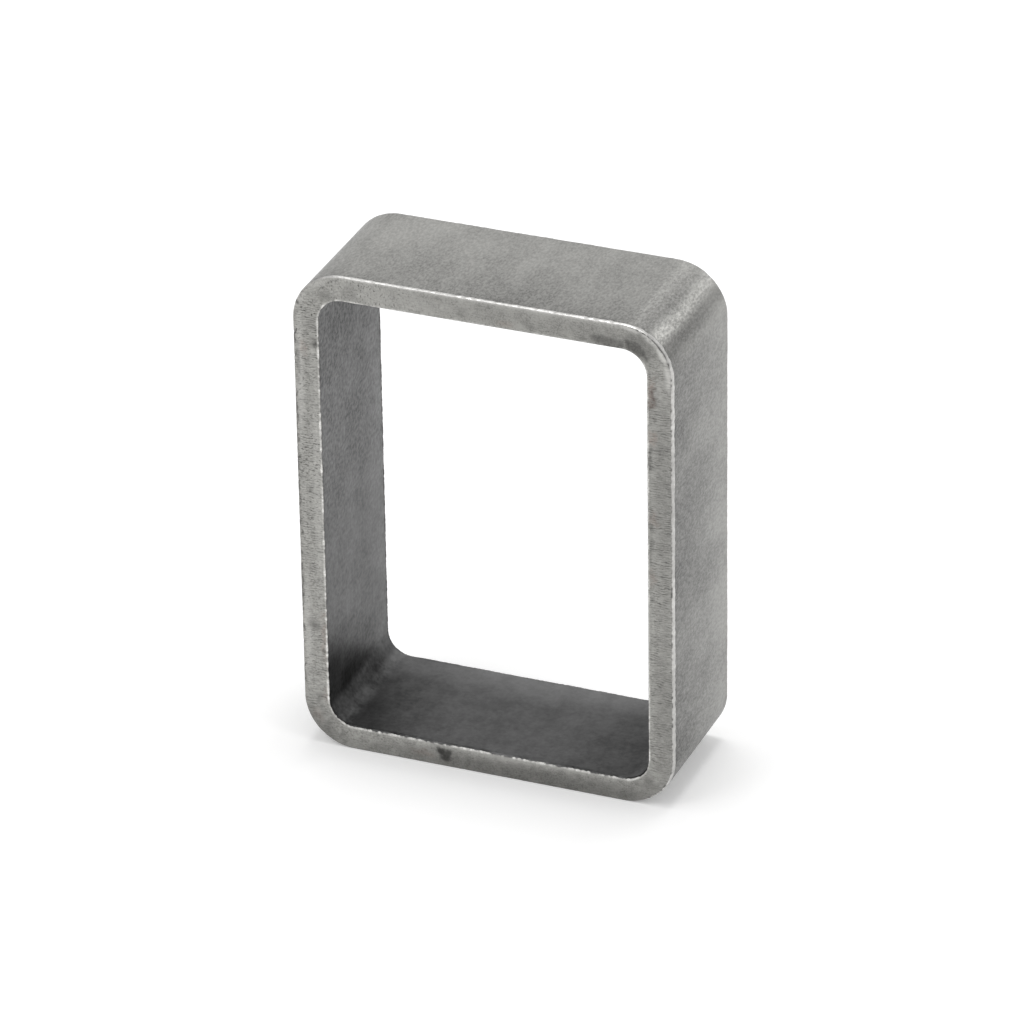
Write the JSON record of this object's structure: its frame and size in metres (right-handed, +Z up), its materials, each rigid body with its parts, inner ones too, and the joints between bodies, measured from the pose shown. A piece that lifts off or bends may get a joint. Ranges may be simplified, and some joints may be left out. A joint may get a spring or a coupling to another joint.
{
  "type": "rectangular hollow section",
  "caption": "Short sawn length of cold-formed steel rectangular hollow section, open at both ends, with rounded corner bends.",
  "frame": {"origin": "middle of the short side that the section stands on, at the level of the floor", "axes": "+X across the section's width, +Y along the tube from the shown cut end to the far one, +Z up its height"},
  "size_m": [0.06, 0.023, 0.08],
  "materials": {
    "steel": "satin mill finish outside and inside, saw-cut ends"
  },
  "bodies": {
    "root": {"hollow_section": "steel"}
  },
  "joints": []
}
